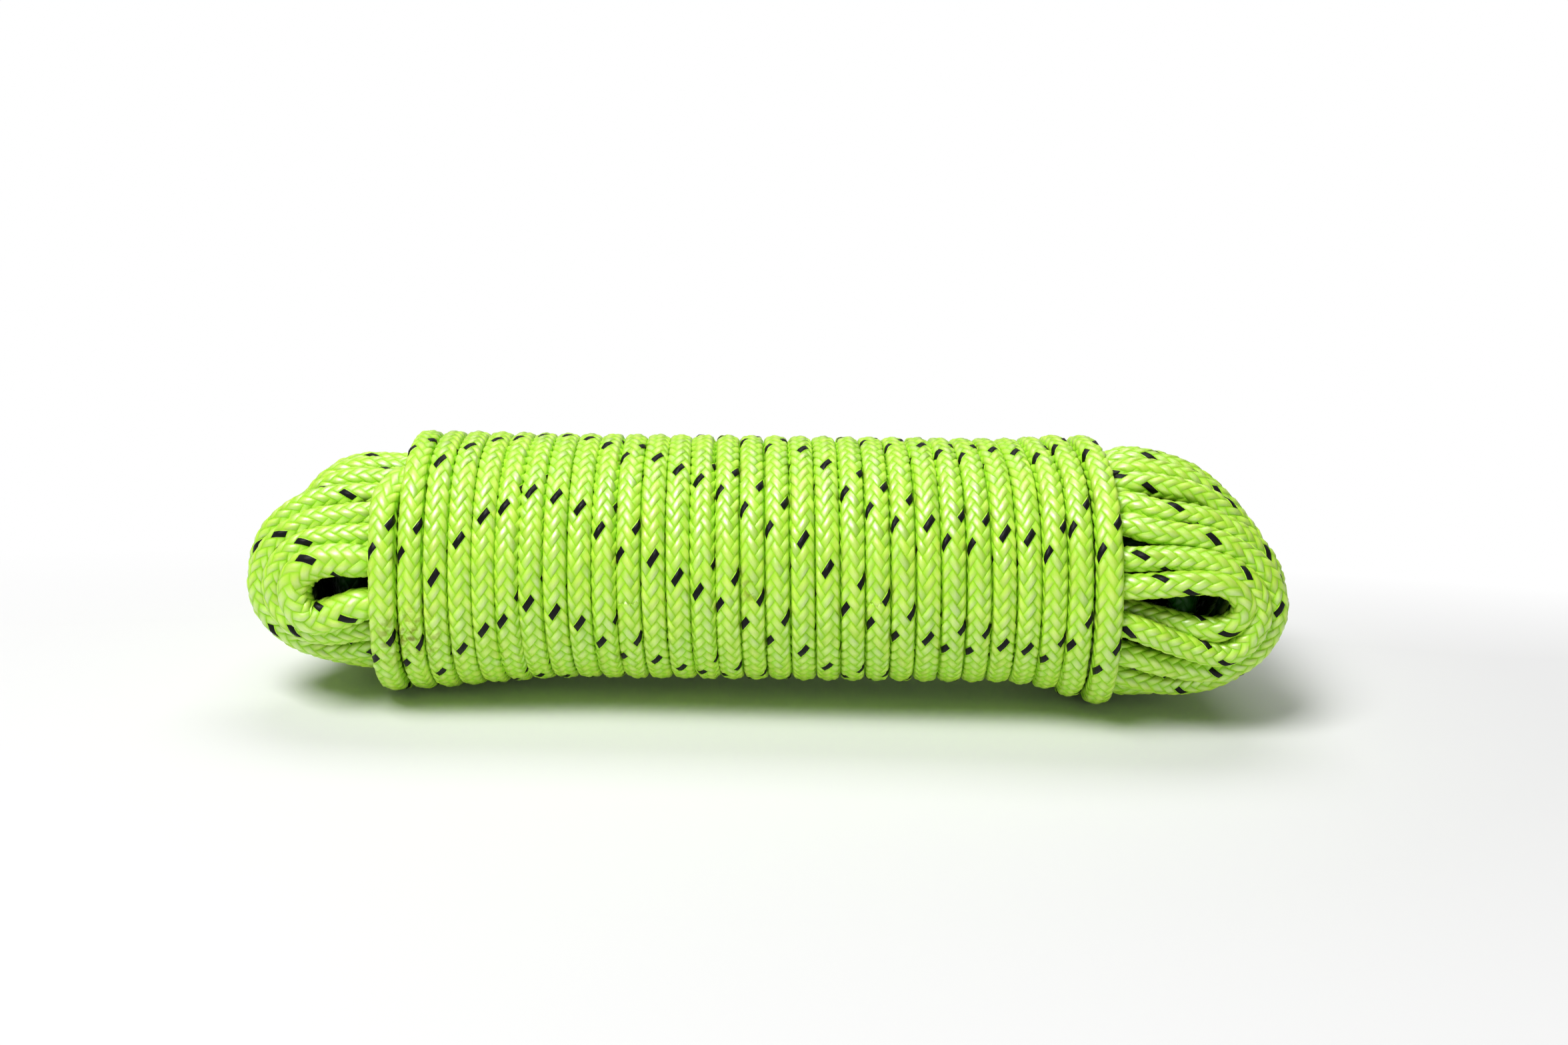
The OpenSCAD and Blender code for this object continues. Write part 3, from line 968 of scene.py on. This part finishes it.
def strandMaterial():
    sheet = Sheet("braided.strands")
    look = strandLook
    yarn = sheet.node("ShaderNodeUVMap", {"uv_map": "yarn"}).outputs[0]
    split = sheet.node("ShaderNodeSeparateXYZ", inputs={0: yarn})
    alongYarn = Value(sheet, split.outputs[0])
    acrossYarn = Value(sheet, split.outputs[1])
    number = sheet.attribute("number")
    crown = sheet.attribute("crown")
    # the dark strand is squeezed narrower than the others by its neighbours
    narrow = ((look["tracerHalf"] - abs(acrossYarn - 0.5)) * look["tracerSides"]).clamp()
    narrow = narrow * ((look["tracerLength"] - abs(alongYarn - 1)) * look["tracerEnds"]).clamp()
    tracer = sheet.attribute("tracer") * narrow
    # filaments: streaks drawn out along the strand, different on each float
    long, fine, other = look["streaks"]
    place = sheet.node("ShaderNodeCombineXYZ",
                       inputs={0: alongYarn * long, 1: acrossYarn * fine, 2: number * other})
    streak = sheet.value("ShaderNodeTexNoise", {"noise_dimensions": "3D"},
                         {"Vector": place.outputs[0], "Scale": 1.0, "Detail": 2.0, "Roughness": 0.6})
    tint = sheet.value("ShaderNodeTexWhiteNoise", {"noise_dimensions": "1D"}, {"W": number})
    coords = sheet.node("ShaderNodeTexCoord").outputs[3]
    wide = sheet.value("ShaderNodeTexNoise", {"noise_dimensions": "3D"},
                       {"Vector": coords, "Scale": look["patches"], "Detail": 3.0})
    depth = tint * look["floatShare"] + wide * look["patchShare"] - look["deepFrom"]
    body = sheet.mix(depth.clamp(), look["lime"], look["deepLime"])
    # pale filament streaks, partly a streaky tone and partly painted sheen: they show only towards each
    # float's crown, where it catches the light
    paintedSheen = ((streak - look["paleFrom"]) * look["paleRate"]).clamp() * crown * look["paleShare"]
    body = sheet.mix(paintedSheen, body, look["sheenLime"])
    # painted shade: floats are painted darker towards their sides and ends, where they sink into the shaded
    # creases
    sides = (1 - crown).clamp() ** 2.0 * look["creaseShadeSides"]
    body = sheet.mix((sides + abs(alongYarn - 1) ** 3.0 * look["creaseShadeEnds"]).clamp(), body, look["crease"])
    grain = sheet.value("ShaderNodeTexNoise", {"noise_dimensions": "3D"},
                        {"Vector": coords, "Scale": look["grain"], "Detail": 3.0})
    clean = 1.0
    for spot, reach in soilSpots:
        far = sheet.value("ShaderNodeVectorMath", {"operation": "DISTANCE"}, {0: coords, 1: spot}, output=1)
        near = (1 - far * (1 / reach)).clamp()
        soil = ((grain - look["soilFrom"]) * look["soilRate"]).clamp() * near * look["soilShare"]
        body = sheet.mix(soil, body, look["soil"])
        clean = (1 - soil) * clean
    # painted shade: strands that face into the hank, or into the gap between two runs, are painted the dark
    # green of shade
    paintedShade = ((look["darkFrom"] - sheet.attribute("outward")) * look["darkRate"]).clamp()
    body = sheet.mix(paintedShade, body, look["hidden"])
    colour = sheet.mix(tracer, body, look["tracer"])
    sheet.feed(sheet.shader.inputs["Base Color"], colour)
    change = (streak - 0.5) * look["roughnessChange"]
    sheet.feed(sheet.shader.inputs["Roughness"], look["roughness"] + change)
    gloss = look["gloss"] * (crown * look["glossRate"]).clamp() * (1 - tracer) * (1 - paintedShade) * clean * clean
    gloss = gloss * (look["glossLeast"] + look["glossChange"] * tint)
    sheet.feed(sheet.shader.inputs["Coat Weight"], gloss.clamp())
    sheet.shader.inputs["Coat Roughness"].default_value = look["glossRoughness"]
    sheet.shader.inputs["Coat IOR"].default_value = look["glossIor"]
    sheet.shader.inputs["Specular IOR Level"].default_value = look["specular"]
    # each float is a little rounder than its mesh, and leans its own way
    middle = alongYarn - 1
    dome = (1 - middle * middle) * acrossYarn * (1 - acrossYarn) * 4
    height = dome * look["dome"] + middle * (tint - 0.5) * look["lean"] + streak * look["filament"]
    bump = sheet.node("ShaderNodeBump", inputs={"Strength": 1.0, "Distance": 1.0, "Height": height})
    sheet.feed(sheet.shader.inputs["Normal"], bump.outputs[0])
    return sheet.material


sealedLook = {
    "light": linear(120, 160, 50),
    "dark": linear(84, 110, 40),
    "blisters": 900.0,
    "roughness": 0.25,
    "roughnessChange": 0.3,
    "bump": 0.5,
    "bumpHeight": 0.0004,
}


def sealedMaterial():
    sheet = Sheet("sealed.ends")
    look = sealedLook
    coords = sheet.node("ShaderNodeTexCoord").outputs[3]
    melt = sheet.value("ShaderNodeTexNoise", {"noise_dimensions": "3D"},
                       {"Vector": coords, "Scale": look["blisters"], "Detail": 3.0})
    sheet.feed(sheet.shader.inputs["Base Color"], sheet.mix(melt, look["light"], look["dark"]))
    sheet.feed(sheet.shader.inputs["Roughness"], look["roughness"] + melt * look["roughnessChange"])
    bump = sheet.node("ShaderNodeBump",
                      inputs={"Strength": look["bump"], "Distance": look["bumpHeight"], "Height": melt})
    sheet.feed(sheet.shader.inputs["Normal"], bump.outputs[0])
    return sheet.material


strands = strandMaterial()
sealed = sealedMaterial()
for piece, _ in pieces:
    piece.data.materials.append(strands)
innerPiece.data.materials.append(strands)
for name in ("start_tip", "tail_tip"):
    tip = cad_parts[name]
    tip.data.materials.clear()
    tip.data.materials.append(sealed)
print("scene: materials ready")


# each piece joins the root body, and the frame's part it stands in for is hidden

for piece, path in pieces:
    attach(piece, "root")
    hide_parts("wrap_winding" if piece.name.startswith("binding") else "hank_loops")
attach(innerPiece, "root")
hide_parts("hank_core")


# floor and light

studio = {
    "floor": (0.90, 0.90, 0.90, 1.0),
    "floorSeen": (0.78, 0.78, 0.78, 1.0),  # the floor as the camera sees it, white where it is lit
    "sky": 0.10,
    "mirrored": 0.40,  # how bright the white around is in reflections
    "size": 8,
    "centre": (0, 2.0, 0),
    "stretch": (1.0, 1.6, 1.0),  # shape of the part of the floor that isn't plain white
    "whiteFrom": 0.20,
    "whiteRate": 3.2,
    "behindFrom": 0.03,  # behind the hank it is white sooner
    "behindRate": 14,
    "aim": (0, 0, 0.03),
    "lamps": [
        # name, place, size, power
        ("key", (-0.44, -0.50, 1.22), (0.6, 0.6), 18.3),
        ("back", (0.05, 0.52, 1.15), (1.0, 0.5), 5.8),
        ("front", (0.45, -1.30, 0.22), (0.9, 0.4), 1.2),
    ],
}


def addFloor():
    bpy.ops.object.select_all(action="DESELECT")
    bpy.ops.mesh.primitive_plane_add(size=studio["size"], location=studio["centre"])
    floor = bpy.context.object
    floor.name = "floor"
    bpy.ops.object.transform_apply(location=True, rotation=True, scale=True)
    sheet = Sheet("floor.white")
    seen = Value(sheet, sheet.node("ShaderNodeLightPath").outputs["Is Camera Ray"])
    colour = sheet.mix(seen, studio["floor"], studio["floorSeen"])
    matt = sheet.node("ShaderNodeBsdfDiffuse", inputs={0: colour})
    coords = sheet.node("ShaderNodeTexCoord").outputs[3]
    flat = sheet.node("ShaderNodeMapping", inputs={0: coords, 3: studio["stretch"]})
    far = sheet.value("ShaderNodeVectorMath", {"operation": "LENGTH"}, {0: flat.outputs[0]}, output=1)
    behind = Value(sheet, sheet.node("ShaderNodeSeparateXYZ", inputs={0: coords}).outputs[1])
    back = ((behind - studio["behindFrom"]) * studio["behindRate"]).clamp()
    away = ((far - studio["whiteFrom"]) * studio["whiteRate"] + back).clamp()
    white = sheet.node("ShaderNodeEmission", inputs={0: (1, 1, 1, 1), 1: 1.0})
    blend = sheet.node("ShaderNodeMixShader", inputs={0: away * seen})
    sheet.tree.links.new(matt.outputs[0], blend.inputs[1])
    sheet.tree.links.new(white.outputs[0], blend.inputs[2])
    sheet.tree.links.new(blend.outputs[0], sheet.output.inputs[0])
    floor.data.materials.append(sheet.material)


def addWorld():
    world = bpy.data.worlds.new("studio")
    bpy.context.scene.world = world
    world.use_nodes = True
    tree = world.node_tree
    ray = tree.nodes.new("ShaderNodeLightPath")
    background = tree.nodes["Background"]
    background.inputs[0].default_value = (1, 1, 1, 1)
    # the camera sees white, and reflections a share of it
    shown = tree.nodes.new("ShaderNodeMath")
    shown.operation = "MULTIPLY_ADD"
    tree.links.new(ray.outputs["Is Glossy Ray"], shown.inputs[0])
    shown.inputs[1].default_value = studio["mirrored"]
    tree.links.new(ray.outputs["Is Camera Ray"], shown.inputs[2])
    strength = tree.nodes.new("ShaderNodeMix")
    strength.inputs[2].default_value = studio["sky"]
    strength.inputs[3].default_value = 1.0
    tree.links.new(shown.outputs[0], strength.inputs[0])
    tree.links.new(strength.outputs[0], background.inputs[1])


def addLamp(name, place, size, power):
    data = bpy.data.lights.new(name, "AREA")
    data.shape = "RECTANGLE"
    data.size, data.size_y = size
    data.energy = power
    lamp = bpy.data.objects.new(name, data)
    lamp.location = place
    lamp.rotation_euler = (Vector(studio["aim"]) - Vector(place)).to_track_quat("-Z", "Y").to_euler()
    bpy.context.scene.collection.objects.link(lamp)


addFloor()
addWorld()
for name, place, size, power in studio["lamps"]:
    addLamp(name, place, size, power)
bpy.context.scene.view_settings.view_transform = "Standard"
print("scene: floor and light ready")
